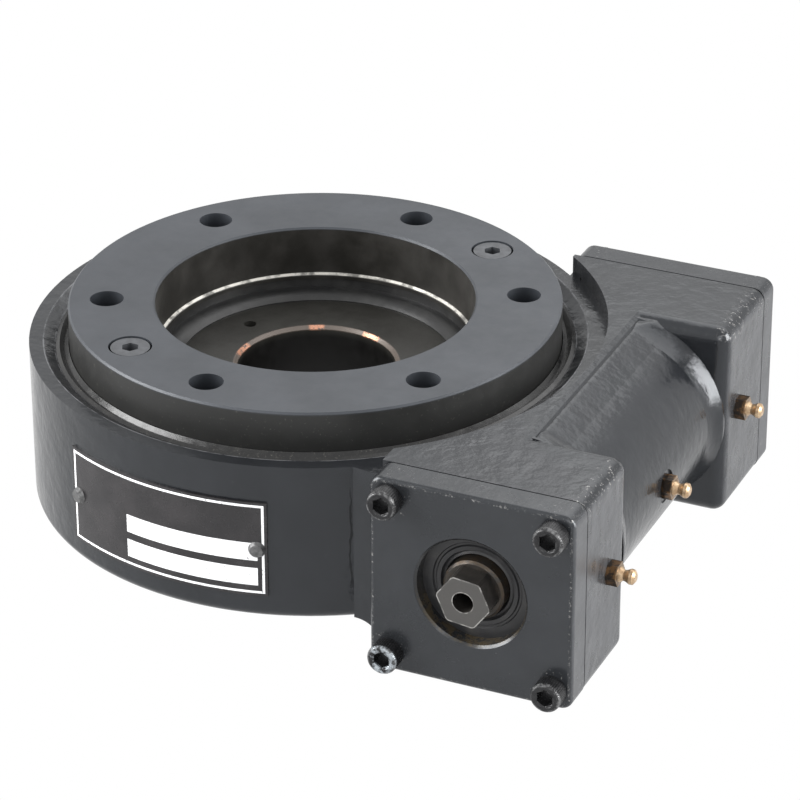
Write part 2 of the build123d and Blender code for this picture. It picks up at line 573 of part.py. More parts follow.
def gasket(name, y0):
    """Thin gasket under an end cap."""
    with BuildPart() as sheet:
        with BuildSketch(along_y(y0)):
            RectangleRounded(BLOCK - 0.6, BLOCK - 0.6, 4.0)
            Circle(BEARING_R + 1.0, mode=Mode.SUBTRACT)
            with Locations(*CORNERS):
                Circle(CAP_SCREW_R + 0.7, mode=Mode.SUBTRACT)
        extrude(amount=GASKET_T)
    save(sheet.part, name)


def cap_screws(name, face_y, out, head, edge):
    """Four M6 screws through a cap; out = -1 or +1 is the head side, head its height."""
    with BuildPart() as screws:
        with BuildSketch(along_y(face_y)):
            with Locations(*CORNERS):
                Circle(CAP_HEAD_R)
        extrude(amount=out * head)
        tops = screws.faces().filter_by(Axis.Y).sort_by(Axis.Y)
        rims = (tops[:4] if out < 0 else tops[-4:]).edges()
        chamfer(rims, length=edge)
        with BuildSketch(along_y(face_y + out * head)):
            with Locations(*CORNERS):
                RegularPolygon(CAP_SCREW_R, 6, major_radius=False)
        extrude(amount=-out * head / 2, mode=Mode.SUBTRACT)
        with BuildSketch(along_y(face_y)):
            with Locations(*CORNERS):
                Circle(CAP_SCREW_R)
        extrude(amount=-out * (CAP_T + GASKET_T + CAP_GRIP))
    save(screws.part, name)


cap("input_cap", CAP_FRONT_Y, SEAL_OR)
cap("rear_cap", REAR_Y + GASKET_T, 0)
gasket("input_gasket", FRONT_Y - GASKET_T)
gasket("rear_gasket", REAR_Y)
cap_screws("input_cap_screws", CAP_FRONT_Y, -1, 6.0, 0.6)
cap_screws("rear_cap_screws", CAP_REAR_Y, 1, 3.4, 1.5)

with BuildPart() as oil_seal:                        # lip seal in the input cap
    y0, y1 = CAP_FRONT_Y + SEAL_DEPTH, FRONT_Y - GASKET_T
    shaft_profile([(NECK_R + RUN, y0 + 1.7), (NECK_R + 0.7, y0 + 0.5), (NECK_R + 1.5, y0 + 0.9),
                   (NECK_R + 2.1, y0), (NECK_R + 3.4, y0), (NECK_R + 3.8, y0 + 0.5), (NECK_R + 4.4, y0 + 0.5),
                   (NECK_R + 4.8, y0), (SEAL_OR, y0), (SEAL_OR, y1), (NECK_R + 3.2, y1),
                   (NECK_R + 3.2, y0 + 2.6), (NECK_R + RUN, y0 + 2.5)])
save(oil_seal.part, "input_oil_seal")

# ---------------------------------------------------------------- grease nipples
NIPPLE_PROFILE = [(0, 0), (3.0, 0), (3.0, 2.9), (3.8, 2.4), (5.0, 1.7), (5.8, 1.9), (7.0, 2.5), (8.0, 2.4),
                  (8.7, 1.5), (8.7, 0)]
for name, seat in zip(("front_grease_nipple", "barrel_grease_nipple", "rear_grease_nipple"), NIPPLES):
    with BuildPart() as nipple:
        with BuildSketch(along_x(*seat)):
            RegularPolygon(3.5, 6, major_radius=False)
        extrude(amount=3.5)
        with BuildSketch(along_x(*seat)):
            Circle(2.6)
        extrude(amount=-8)
        with BuildSketch(Plane(origin=seat, x_dir=(1, 0, 0), z_dir=(0, 0, 1))):
            with BuildLine():
                Polyline(*NIPPLE_PROFILE, close=True)
            make_face()
        revolve(axis=Axis(seat, (1, 0, 0)))
    save(nipple.part, name)

# ---------------------------------------------------------------- bare nameplate and its rivets
with BuildPart() as nameplate:
    with BuildSketch(Plane.XY.offset(PLATE_Z - PLATE_H / 2)):
        with BuildLine():
            a0, a1 = PLATE_ANGLE - PLATE_HALF, PLATE_ANGLE + PLATE_HALF
            CenterArc((0, 0), DRUM_R + 0.02, a0, a1 - a0)
            CenterArc((0, 0), DRUM_R + 0.02 + PLATE_T, a0, a1 - a0)
            for t in (a0, a1):
                c, s = cos(radians(t)), sin(radians(t))
                Line(((DRUM_R + 0.02) * c, (DRUM_R + 0.02) * s),
                     ((DRUM_R + 0.02 + PLATE_T) * c, (DRUM_R + 0.02 + PLATE_T) * s))
        make_face()
    extrude(amount=PLATE_H)
    for side in (-1, 1):
        with BuildSketch(radial(PLATE_ANGLE + side * (PLATE_HALF - 2.0), DRUM_R - 1, PLATE_Z)):
            Circle(RIVET_R + 0.1)
        extrude(amount=4, mode=Mode.SUBTRACT)
save(nameplate.part, "nameplate")

with BuildPart() as rivets:
    for side in (-1, 1):
        seat = radial(PLATE_ANGLE + side * (PLATE_HALF - 2.0), DRUM_R + 0.02 + PLATE_T + 0.03, PLATE_Z)
        with BuildSketch(seat):
            Circle(RIVET_R + 1.25)
        extrude(amount=1.3, taper=30)
        with BuildSketch(seat):
            Circle(RIVET_R)
        extrude(amount=-6)
save(rivets.part, "nameplate_rivets")
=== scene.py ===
import bpy, bmesh, math
from mathutils import Vector, Matrix, noise as mnoise


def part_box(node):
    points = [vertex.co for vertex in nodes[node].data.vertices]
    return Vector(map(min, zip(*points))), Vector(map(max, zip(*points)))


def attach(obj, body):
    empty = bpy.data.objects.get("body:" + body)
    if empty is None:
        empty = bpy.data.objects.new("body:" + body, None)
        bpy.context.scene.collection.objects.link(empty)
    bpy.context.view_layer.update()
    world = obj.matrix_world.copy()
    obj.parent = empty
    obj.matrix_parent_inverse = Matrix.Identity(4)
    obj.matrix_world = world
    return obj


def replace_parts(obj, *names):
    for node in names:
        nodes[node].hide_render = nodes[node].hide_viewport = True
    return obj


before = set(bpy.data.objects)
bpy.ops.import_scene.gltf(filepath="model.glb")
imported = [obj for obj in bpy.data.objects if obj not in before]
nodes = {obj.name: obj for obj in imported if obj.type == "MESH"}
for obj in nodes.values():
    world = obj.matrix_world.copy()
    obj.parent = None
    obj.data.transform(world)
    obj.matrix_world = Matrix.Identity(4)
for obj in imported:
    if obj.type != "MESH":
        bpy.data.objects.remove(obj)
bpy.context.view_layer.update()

MM = 0.001

# places read from the frame
CAP_LOW, CAP_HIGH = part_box("input_cap")
CX, ZW = (CAP_LOW[0] + CAP_HIGH[0]) / 2, (CAP_LOW[2] + CAP_HIGH[2]) / 2      # worm axis
CAP_HALF = (CAP_HIGH[0] - CAP_LOW[0]) / 2
HEAD_LOW, HEAD_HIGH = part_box("input_cap_screws")
HEAD_R, HEAD_FACE = 5.0 * MM, HEAD_LOW[1]
SCREW_AT = (HEAD_HIGH[0] - HEAD_LOW[0]) / 2 - HEAD_R      # cap screws off the worm axis, both ways
HEX_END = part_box("worm_shaft")[0][1]
BLOCK_SIDE, BLOCK_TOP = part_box("housing")[1][0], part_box("housing")[1][2]
RING_R, RING_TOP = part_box("output_ring")[1][0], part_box("output_ring")[1][2]
HUB_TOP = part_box("inner_hub")[1][2]
PLATE_LOW, PLATE_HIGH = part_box("nameplate")
PLATE_R, PLATE_Z = -PLATE_LOW[1], (PLATE_LOW[2] + PLATE_HIGH[2]) / 2

# places that no box shows
BORE_R, BEVEL_Z = 51.9 * MM, 57.1 * MM                    # output ring's bore, and the bevel at its foot
HUB_BORE_R = 26.0 * MM
RIM_INNER, RIM_FOOT, RIM_Z = 88.3 * MM, 84.7 * MM, 59.0 * MM      # edges of the bevel on the drum's rim
DRUM_R, SEAM_TURN, SEAM_END_Y = 93.0 * MM, 58.5, -60 * MM         # drum, and the seam's angle in degrees
FRONT_BACK, REAR_FRONT = -48.0 * MM, 40.0 * MM            # inner faces of the end blocks
PLATE_TURN = 97.0                                         # middle of the nameplate, degrees
NIPPLE_HEX = 11.5 * MM                                    # length of a grease nipple with its hexagon


# ------------------------------------------------------------------ node helpers
class Tree:
    """Small helper that builds a material's node tree."""

    def __init__(self, name):
        self.mat = bpy.data.materials.new(name)
        self.mat.use_nodes = True
        self.nt = self.mat.node_tree
        self.bsdf = self.nt.nodes["Principled BSDF"]
        self.co = self.nt.nodes.new("ShaderNodeTexCoord").outputs["Object"]

    def node(self, kind, inputs=None, **attrs):
        n = self.nt.nodes.new(kind)
        for k, v in attrs.items():
            setattr(n, k, v)
        for k, v in (inputs or {}).items():
            if isinstance(v, bpy.types.NodeSocket):
                self.nt.links.new(v, n.inputs[k])
            else:
                n.inputs[k].default_value = v
        return n

    def noise(self, scale, detail=4.0, rough=0.55, stretch=None):
        co = self.co
        if stretch:
            co = self.node("ShaderNodeMapping", {"Vector": co, "Scale": stretch}).outputs[0]
        inputs = {"Vector": co, "Scale": scale, "Detail": detail, "Roughness": rough}
        return self.node("ShaderNodeTexNoise", inputs).outputs["Fac"]

    def math(self, op, a, b=0.0):
        return self.node("ShaderNodeMath", {0: a, 1: b}, operation=op).outputs[0]

    def times(self, *values):
        """Product of all the values."""
        total = values[0]
        for value in values[1:]:
            total = self.math("MULTIPLY", total, value)
        return total

    def length(self, a, b):
        return self.math("SQRT", self.math("ADD", self.times(a, a), self.times(b, b)))

    def ramp(self, fac, lo, hi, out_lo=0.0, out_hi=1.0, kind="LINEAR"):
        inputs = {"Value": fac, "From Min": lo, "From Max": hi, "To Min": out_lo, "To Max": out_hi}
        return self.node("ShaderNodeMapRange", inputs, interpolation_type=kind).outputs["Result"]

    def smooth(self, fac, lo, hi, out_lo=0.0, out_hi=1.0):
        return self.ramp(fac, lo, hi, out_lo, out_hi, "SMOOTHSTEP")

    def band(self, value, at, half, fade):
        """1 close to at, and 0 from half away on both sides."""
        rise = self.smooth(value, at - half, at - half + fade)
        return self.times(rise, self.smooth(value, at + half, at + half - fade))

    def mix(self, fac, a, b):
        n = self.node("ShaderNodeMix", data_type="RGBA")
        for k, v in ((0, fac), (6, a), (7, b)):
            if isinstance(v, bpy.types.NodeSocket):
                self.nt.links.new(v, n.inputs[k])
            else:
                n.inputs[k].default_value = v if k == 0 else (*v, 1.0)
        return n.outputs[2]

    def xyz(self):
        n = self.node("ShaderNodeSeparateXYZ", {0: self.co})
        return n.outputs[0], n.outputs[1], n.outputs[2]

    def set(self, key, value):
        s = self.bsdf.inputs[key]
        if isinstance(value, bpy.types.NodeSocket):
            self.nt.links.new(value, s)
        else:
            s.default_value = (*value, 1.0) if isinstance(value, tuple) and len(value) == 3 else value

    def bump(self, *layers):
        """layers: (height socket, distance in metres, strength)."""
        normal = None
        for height, distance, strength in layers:
            inputs = {"Height": height, "Distance": distance, "Strength": strength}
            if normal is not None:
                inputs["Normal"] = normal
            normal = self.node("ShaderNodeBump", inputs).outputs[0]
        self.nt.links.new(normal, self.bsdf.inputs["Normal"])

    def from_slewing_axis(self):
        x, y, z = self.xyz()
        return self.length(x, y)

    def from_worm_axis(self):
        x, y, z = self.xyz()
        return self.length(self.math("SUBTRACT", x, CX), self.math("SUBTRACT", z, ZW))

    def from_cap_screws(self):
        """Distance from the axis of the nearest cap screw."""
        x, y, z = self.xyz()
        across = self.math("ABSOLUTE", self.math("SUBTRACT", x, CX))
        upright = self.math("ABSOLUTE", self.math("SUBTRACT", z, ZW))
        return self.length(self.math("SUBTRACT", across, SCREW_AT), self.math("SUBTRACT", upright, SCREW_AT))


def paint(name, base, cast, rough, wear, grease=None, seams_and_rim_highlights=False):
    """Black enamel over a casting, with orange peel, dust, worn spots, painted sheen on the +X faces, and
    optional grease, seams and painted rim highlights.
    """
    t = Tree(name)
    broad, fine, peel = t.noise(60), t.noise(900, 5), t.noise(420, 3)
    col = t.mix(t.smooth(broad, 0.35, 0.7), base, tuple(1.25 * c for c in base))
    dust = t.smooth(fine, 0.72, 0.78, 0.0, 0.4)
    col = t.mix(dust, col, (0.13, 0.13, 0.125))
    rg = t.ramp(t.noise(70, 4), 0.3, 0.7, rough - 0.05, rough + 0.06)
    if seams_and_rim_highlights:
        # painted highlight: pale broken lines on the drum rim's bevel edges
        col = t.mix(rim_painted_highlights(t), col, (0.16, 0.16, 0.165))
        seam = casting_seam(t)
        col = t.mix(seam, col, (0.0015, 0.0015, 0.0015))
        rg = t.math("ADD", rg, t.times(seam, 0.4))
    # painted sheen: the +X outer faces are made lighter and rougher than the enamel
    side_painted_shading = block_sides_painted_sheen(t)
    col = t.mix(side_painted_shading, col, (0.050, 0.051, 0.054))
    rg = t.math("ADD", rg, t.times(side_painted_shading, 0.14))
    if grease:
        col = t.mix(grease(t), col, (0.050, 0.038, 0.022))
    bare = wear(t)
    col = t.mix(bare, col, (0.34, 0.33, 0.315))
    rg = t.math("ADD", rg, t.times(bare, 0.12))
    t.set("Metallic", t.times(bare, 0.75))
    t.set("Base Color", col)
    t.set("Roughness", rg)
    t.set("Specular Tint", (0.93, 0.96, 1.0))
    t.bump((t.noise(150, 3), 0.00050 * cast, 0.6), (peel, 0.00020 * cast, 0.45),
           (t.noise(1800, 2), 0.00004, 0.3))
    return t.mat


def steel(name, base, rough, metallic, scale=1.0, stain=None, grain=0.00004):
    """Machined, pressed or blackened steel; stain = (amount, colour) adds patches."""
    t = Tree(name)
    n = t.noise(140 * scale, 5)
    col = t.mix(t.smooth(n, 0.3, 0.75), base, tuple(min(1, 1.55 * c) for c in base))
    if stain:
        amount, tint = stain
        patches = t.smooth(t.noise(75 * scale, 6, 0.65), 0.62 - 0.25 * amount, 0.74, 0.0, 0.85)
        col = t.mix(patches, col, tint)
    t.set("Base Color", col)
    t.set("Metallic", metallic)
    t.set("Roughness", t.ramp(t.noise(260 * scale, 4), 0.3, 0.7, rough - 0.07, rough + 0.1))
    t.bump((t.noise(1500, 3), grain, 0.4))
    return t.mat


def gasket_material():
    """Dark sheet of the two gaskets."""
    t = Tree("gasket_sheet")
    wear_and_highlight = t.smooth(t.noise(220, 5), 0.4, 0.75)
    t.set("Base Color", t.mix(wear_and_highlight, (0.020, 0.018, 0.016), (0.045, 0.044, 0.042)))
    t.set("Roughness", t.ramp(t.noise(400, 4), 0.3, 0.7, 0.64, 0.82))
    t.bump((t.noise(1300, 3), 0.00004, 0.4))
    return t.mat


def give(mat, *names):
    """Sets one material on every slot of the named CAD nodes."""
    for name in names:
        for s in nodes[name].material_slots:
            s.material = mat


# ------------------------------------------------------------------ materials of the CAD nodes
def block_wear(t):
    """Rubbed paint along the rounded long edges of the end blocks."""
    x, y, z = t.xyz()
    past_x = t.math("SUBTRACT", x, BLOCK_SIDE - 2.0 * MM)
    past_z = t.math("SUBTRACT", z, BLOCK_TOP - 2.0 * MM)
    near = t.smooth(t.math("ADD", past_x, past_z), -3.0 * MM, 0.5 * MM)
    return t.times(near, t.smooth(t.noise(750, 6, 0.75), 0.57, 0.66))


def rim_painted_highlights(t):
    """Painted highlight: pale broken lines along the edges of the drum rim's bevel."""
    x, y, z = t.xyz()
    r = t.from_slewing_axis()
    edges = t.math("MAXIMUM", t.band(r, RIM_INNER, 0.4 * MM, 0.3 * MM), t.band(r, RIM_FOOT, 0.3 * MM, 0.2 * MM))
    broken = t.smooth(t.noise(120, 6, 0.7), 0.42, 0.58, 0.1, 0.7)
    return t.times(edges, broken, t.smooth(z, RIM_Z, RIM_Z + 0.5 * MM))


def casting_seam(t):
    """Thin open seam in the paint where the drum runs into the input block."""
    x, y, z = t.xyz()
    arc = t.times(t.math("ADD", t.math("ARCTAN2", y, x), math.radians(SEAM_TURN)), DRUM_R)
    wander = t.times(t.math("SUBTRACT", t.noise(38, 6, 0.7), 0.5), 7 * MM)
    off = t.math("ABSOLUTE", t.math("ADD", arc, wander))
    upper, lower = t.smooth(z, 56 * MM, 50 * MM), t.smooth(z, 18 * MM, 22 * MM)
    return t.times(t.smooth(off, 0.42 * MM, 0.22 * MM), upper, lower, t.math("LESS_THAN", y, SEAM_END_Y))


def block_sides_painted_sheen(t):
    """Painted sheen: lighter, duller paint with brushed-looking streaks on the +X outer faces of the end blocks
    and caps.
    """
    x, y, z = t.xyz()
    streaks = t.noise(260, 5, 0.6, stretch=(1.0, 1.0, 0.35))
    face = t.smooth(x, BLOCK_SIDE - 0.9 * MM, BLOCK_SIDE - 0.1 * MM)
    return t.times(face, t.smooth(streaks, 0.30, 0.70, 0.35, 1.0))


def cap_wear(t):
    """Chips of paint round the cap screws and along the plate's rim."""
    x, y, z = t.xyz()
    chips = t.smooth(t.noise(820, 6, 0.7), 0.60, 0.66)
    near_screws = t.smooth(t.from_cap_screws(), HEAD_R, HEAD_R + 3.0 * MM, 1.0, 0.0)
    across = t.math("ABSOLUTE", t.math("SUBTRACT", x, CX))
    upright = t.math("ABSOLUTE", t.math("SUBTRACT", z, ZW))
    inside = t.math("SUBTRACT", CAP_HALF, t.math("MAXIMUM", across, upright))      # distance in from the rim
    rim = t.times(t.smooth(inside, 1.6 * MM, 1.3 * MM), t.smooth(inside, 0.6 * MM, 1.0 * MM, 0.1, 1.0))
    line = t.times(rim, t.smooth(t.noise(950, 7, 0.85), 0.54, 0.62, 0.0, 0.75))
    return t.math("MAXIMUM", t.times(near_screws, chips), line)


def opening_grease(t):
    """Old brown grease on the wall of the shaft opening, thickest at the bottom."""
    x, y, z = t.xyz()
    wall = t.smooth(t.from_worm_axis(), 18.8 * MM, 18.3 * MM)
    low = t.smooth(z, ZW + 2 * MM, ZW - 12 * MM, 0.15, 1.0)
    input_end = t.math("LESS_THAN", y, 0.0)
    return t.times(wall, low, input_end, t.smooth(t.noise(260, 6, 0.7), 0.38, 0.55))


def ring_material():
    """Black-oxide steel with faint turning marks, and a bare bevel at the foot of the bore."""
    t = Tree("ring_oxide")
    x, y, z = t.xyz()
    r = t.from_slewing_axis()
    below = t.math("SUBTRACT", RING_TOP, z)              # depth below the top face
    col = t.mix(t.smooth(t.noise(45, 4), 0.3, 0.75), (0.030, 0.0335, 0.039), (0.042, 0.046, 0.053))
    col = t.mix(t.smooth(t.noise(650, 5, 0.6), 0.70, 0.78, 0.0, 0.5), col, (0.16, 0.155, 0.15))
    bore = t.times(t.smooth(r, BORE_R + 0.6 * MM, BORE_R + 0.05 * MM), t.smooth(below, 0.4 * MM, 1.0 * MM))
    brown = t.mix(t.smooth(t.noise(90, 5), 0.35, 0.7), (0.013, 0.012, 0.010), (0.030, 0.028, 0.025))
    col = t.mix(bore, col, brown)
    # painted shade: the outer side wall is made darker than the top face, with greasy specks on it
    side_painted_shading = t.times(t.smooth(r, RING_R - 0.8 * MM, RING_R - 0.4 * MM), t.smooth(below, 0.4 * MM, 1.2 * MM))
    specks = t.smooth(t.noise(900, 6, 0.7), 0.60, 0.70, 0.0, 0.6)
    col = t.mix(side_painted_shading, col, t.mix(specks, (0.020, 0.020, 0.019), (0.10, 0.098, 0.085)))
    bare = t.band(z, BEVEL_Z, 0.4 * MM, 0.2 * MM)
    bare = t.times(bare, t.smooth(t.noise(200, 6, 0.6), 0.36, 0.56, 0.25, 1.0))
    col = t.mix(bare, col, (0.62, 0.60, 0.55))
    t.set("Base Color", col)
    t.set("Metallic", t.math("ADD", 0.25, t.times(bare, 0.6)))
    t.set("Roughness", t.ramp(t.noise(200, 4), 0.3, 0.7, 0.36, 0.46))
    waves = t.math("SINE", t.times(r, 2 * math.pi / (0.5 * MM)))
    t.bump((waves, 0.000006, 0.25), (t.noise(1600, 3), 0.00004, 0.35))
    return t.mat


def hub_material():
    """Blackened hub floor, with painted shade in the holes below its top face; the bore's chamfer is paler,
    with coppery painted highlight arcs.
    """
    t = Tree("hub_oxide")
    x, y, z = t.xyz()
    r = t.from_slewing_axis()
    below = t.math("SUBTRACT", HUB_TOP, z)               # depth below the hub's top face
    col = t.mix(t.smooth(t.noise(60, 5), 0.3, 0.75), (0.021, 0.020, 0.017), (0.032, 0.031, 0.027))
    col = t.mix(t.smooth(t.noise(700, 5, 0.6), 0.69, 0.76, 0.0, 0.5), col, (0.13, 0.125, 0.12))
    # painted shade: darker towards the bottom, in the holes and bore below the hub's top face
    deep = t.smooth(below, 1.4 * MM, 4.0 * MM)
    col = t.mix(deep, col, (0.006, 0.0055, 0.005))
    past = t.smooth(r, HUB_BORE_R + 1.6 * MM, HUB_BORE_R + 1.0 * MM)
    edge = t.times(past, t.smooth(below, 1.6 * MM, 1.0 * MM))
    col = t.mix(t.times(edge, 0.7), col, (0.16, 0.13, 0.11))
    turn = t.math("ARCTAN2", y, x)
    wear_and_highlight = 0.0
    for at, half in ((181, 9), (115, 5), (72, 7)):       # painted highlight arcs of the chamfer, degrees
        near = t.math("COSINE", t.math("SUBTRACT", turn, math.radians(at)))
        arc = t.smooth(near, math.cos(math.radians(half + 1.5)), math.cos(math.radians(half - 1.5)))
        wear_and_highlight = t.math("MAXIMUM", wear_and_highlight, arc)
    wear_and_highlight = t.times(edge, wear_and_highlight, t.smooth(t.noise(500, 6, 0.7), 0.40, 0.50))
    # painted highlight: coppery arcs on the bore's chamfer
    col = t.mix(wear_and_highlight, col, (0.58, 0.29, 0.19))
    t.set("Base Color", col)
    t.set("Metallic", t.math("ADD", 0.3, t.times(wear_and_highlight, 0.5)))
    t.set("Roughness", t.ramp(t.noise(260, 4), 0.3, 0.7, 0.36, 0.50))
    waves = t.math("SINE", t.times(r, 2 * math.pi / (0.7 * MM)))
    t.bump((waves, 0.00001, 0.3), (t.noise(1500, 3), 0.00004, 0.4))
    return t.mat


def shaft_material():
    """Dark oily shaft: rusty neck, blackened hexagon with a filed end and bright edges."""
    t = Tree("worm_steel")
    x, y, z = t.xyz()
    r = t.from_worm_axis()
    depth = t.math("SUBTRACT", y, HEX_END)               # from the hexagon's end into the drive
    col = t.mix(t.smooth(t.noise(160, 5), 0.3, 0.7), (0.030, 0.028, 0.026), (0.060, 0.054, 0.048))
    neck = t.times(t.smooth(depth, 7.43 * MM, 8.13 * MM), t.smooth(depth, 37.03 * MM, 27.03 * MM))
    rust = t.times(neck, t.smooth(t.noise(420, 6, 0.7), 0.42, 0.58))
    col = t.mix(rust, col, (0.062, 0.045, 0.030))
    specks = t.times(neck, t.smooth(t.noise(1400, 4, 0.7), 0.64, 0.70))
    col = t.mix(specks, col, (0.42, 0.38, 0.33))
    end = t.smooth(depth, 0.33 * MM, 0.08 * MM)
    col = t.mix(end, col, (0.075, 0.072, 0.068))
    inside = t.smooth(depth, 37.03 * MM, 41.03 * MM)
    col = t.mix(inside, col, (0.42, 0.41, 0.40))
    a, b = t.math("SUBTRACT", x, CX), t.math("SUBTRACT", z, ZW)
    flat = 0.0
    for k in range(3):                                   # distance across the nearest pair of flats
        turn = math.radians(23.5 + 60 * k)
        across = t.math("ADD", t.times(a, math.cos(turn)), t.times(b, math.sin(turn)))
        flat = t.math("MAXIMUM", flat, t.math("ABSOLUTE", across))
    rim = t.math("MAXIMUM", t.smooth(flat, 7.35 * MM, 7.6 * MM), t.smooth(r, 8.35 * MM, 8.55 * MM))
    rim = t.math("MAXIMUM", rim, t.smooth(r, 3.75 * MM, 3.55 * MM))
    bright = t.times(end, rim, t.smooth(t.noise(420, 5), 0.42, 0.60, 0.1, 0.8))
    col = t.mix(bright, col, (0.36, 0.35, 0.33))
    t.set("Base Color", col)
    t.set("Metallic", 0.55)
    t.set("Roughness", t.ramp(t.noise(500, 5), 0.3, 0.7, 0.30, 0.48))
    t.bump((t.noise(700, 5, 0.7), 0.00012, 0.45))
    return t.mat


def screw_material():
    """Black-oxide socket screws; the front head rims carry a painted highlight, and one head is rubbed down to
    silver.
    """
    t = Tree("screw_oxide")
    x, y, z = t.xyz()
    col = t.mix(t.smooth(t.noise(350, 5), 0.3, 0.75), (0.016, 0.016, 0.017), (0.030, 0.030, 0.031))
    depth = t.math("SUBTRACT", y, HEAD_FACE)             # from the face of the front heads
    top = t.smooth(depth, 1.33 * MM, 0.53 * MM)
    rim = t.times(t.smooth(t.from_cap_screws(), 3.9 * MM, 4.3 * MM), t.smooth(depth, 1.53 * MM, 0.83 * MM))
    rim_painted_highlight = t.times(rim, t.smooth(t.noise(500, 5, 0.7), 0.42, 0.62, 0.05, 0.6))
    # painted highlight round the rims of the front heads
    col = t.mix(rim_painted_highlight, col, (0.22, 0.22, 0.22))
    corner = t.times(t.smooth(x, CX, CX - 8 * MM), t.smooth(z, ZW, ZW - 8 * MM))
    silver = t.times(corner, top, t.smooth(t.noise(420, 6, 0.7), 0.44, 0.60, 0.0, 0.7))
    col = t.mix(silver, col, (0.46, 0.50, 0.53))
    t.set("Base Color", col)
    t.set("Metallic", 0.55)
    t.set("Roughness", t.ramp(t.noise(500, 4), 0.3, 0.7, 0.20, 0.34))
    t.bump((t.noise(1500, 3), 0.00005, 0.4))
    return t.mat


def nipple_material(name, node):
    """Paint-splashed brown hexagon and a bare brass ball end, split where the node's hexagon ends."""
    x_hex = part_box(node)[0][0] + NIPPLE_HEX
    t = Tree(name)
    x, y, z = t.xyz()
    brass = t.mix(t.smooth(t.noise(500, 5), 0.35, 0.7), (0.36, 0.24, 0.14), (0.56, 0.42, 0.27))
    dark = t.mix(t.smooth(t.noise(420, 5, 0.65), 0.45, 0.6), (0.022, 0.016, 0.012), (0.13, 0.070, 0.030))
    tip = t.math("ADD", x, t.times(t.noise(450, 3), 1.6 * MM))
    col = t.mix(t.smooth(tip, x_hex + 0.3 * MM, x_hex + 1.5 * MM), dark, brass)
    t.set("Base Color", col)
    t.set("Metallic", 0.75)
    t.set("Roughness", t.ramp(t.noise(600, 4), 0.3, 0.7, 0.26, 0.42))
    t.bump((t.noise(900, 4), 0.00008, 0.4))
    return t.mat


def seal_material(name, base, dusty, rough, grit=0.0):
    """Nitrile rubber in patchy tone, with a little grease and dust."""
    t = Tree(name)
    col = t.mix(t.smooth(t.noise(150, 5), 0.45, 0.75), base, dusty)
    if grit:
        col = t.mix(t.smooth(t.noise(1100, 5, 0.8), 0.58, 0.68, 0.0, grit), col, (0.20, 0.19, 0.16))
    t.set("Base Color", col)
    t.set("Roughness", t.ramp(t.noise(300, 4), 0.3, 0.7, rough - 0.06, rough + 0.1))
    t.bump((t.noise(1200, 3), 0.00005, 0.4))
    return t.mat


def plate_material():
    """Dark printed plate with a pale border line and two blank pale fields, in mm along and up the plate."""
    t = Tree("nameplate_print")
    x, y, z = t.xyz()
    turn = t.math("ADD", t.math("ARCTAN2", y, x), math.radians(PLATE_TURN))
    along = t.times(turn, PLATE_R / MM)
    up = t.times(t.math("SUBTRACT", z, PLATE_Z), 1 / MM)

    def box(low_u, high_u, low_v, high_v):
        within_u = t.times(t.math("GREATER_THAN", along, low_u), t.math("LESS_THAN", along, high_u))
        within_v = t.times(t.math("GREATER_THAN", up, low_v), t.math("LESS_THAN", up, high_v))
        return t.times(within_u, within_v)
    outer, inner = box(-36.4, 36.4, -15.6, 15.6), box(-35.6, 35.6, -14.8, 14.8)
    white = t.math("SUBTRACT", outer, inner)
    for low_v in (-4.0, -12.8):
        white = t.math("MAXIMUM", white, box(-11.6, 34.2, low_v, low_v + 6.2))
    chips = t.smooth(t.noise(900, 5, 0.6), 0.62, 0.68, 1.0, 0.2)
    dark = t.mix(t.smooth(t.noise(90, 5), 0.35, 0.7), (0.012, 0.011, 0.012), (0.021, 0.019, 0.020))
    t.set("Base Color", t.mix(t.times(white, chips), dark, (0.80, 0.80, 0.80)))
    t.set("Roughness", t.ramp(t.noise(300, 4), 0.3, 0.7, 0.20, 0.32))
    t.set("Metallic", 0.0)
    t.bump((t.noise(120, 3), 0.0003, 0.5), (t.noise(1500, 2), 0.00003, 0.3))
    return t.mat


give(paint("housing_enamel", (0.0100, 0.0108, 0.0122), 1.0, 0.20, block_wear, seams_and_rim_highlights=True), "housing")
give(paint("cap_enamel", (0.0135, 0.0145, 0.0160), 0.45, 0.24, cap_wear, grease=opening_grease),
     "input_cap", "rear_cap")
give(ring_material(), "output_ring")
give(hub_material(), "inner_hub")
give(shaft_material(), "worm_shaft")
give(steel("race_steel", (0.55, 0.55, 0.56), rough=0.2, metallic=1.0),
     "bearing_balls", "filler_pin", "front_rollers", "front_bearing_cup", "front_bearing_cone",
     "rear_rollers", "rear_bearing_cup", "rear_bearing_cone")
give(steel("pressed_steel", (0.36, 0.36, 0.35), rough=0.4, metallic=0.9),
     "ball_cage", "ball_filler_plug", "front_roller_cage", "front_spacer_ring", "rear_roller_cage",
     "rear_shim_ring")
give(screw_material(), "hub_screws", "rear_cap_screws", "input_cap_screws")
give(steel("ring_screw_oxide", (0.050, 0.052, 0.056), rough=0.38, metallic=0.3, scale=2.5), "ring_screws")
give(seal_material("outer_seal_rubber", (0.007, 0.007, 0.007), (0.014, 0.0135, 0.012), 0.20, grit=0.35),
     "outer_dust_seal")
give(seal_material("inner_seal_rubber", (0.012, 0.012, 0.012), (0.020, 0.020, 0.019), 0.34), "inner_dust_seal")
give(seal_material("oil_seal_rubber", (0.016, 0.016, 0.017), (0.034, 0.032, 0.030), 0.40), "input_oil_seal")
give(gasket_material(), "input_gasket", "rear_gasket")
give(nipple_material("nipple_brass_block", "front_grease_nipple"), "front_grease_nipple", "rear_grease_nipple")
give(nipple_material("nipple_brass_barrel", "barrel_grease_nipple"), "barrel_grease_nipple")
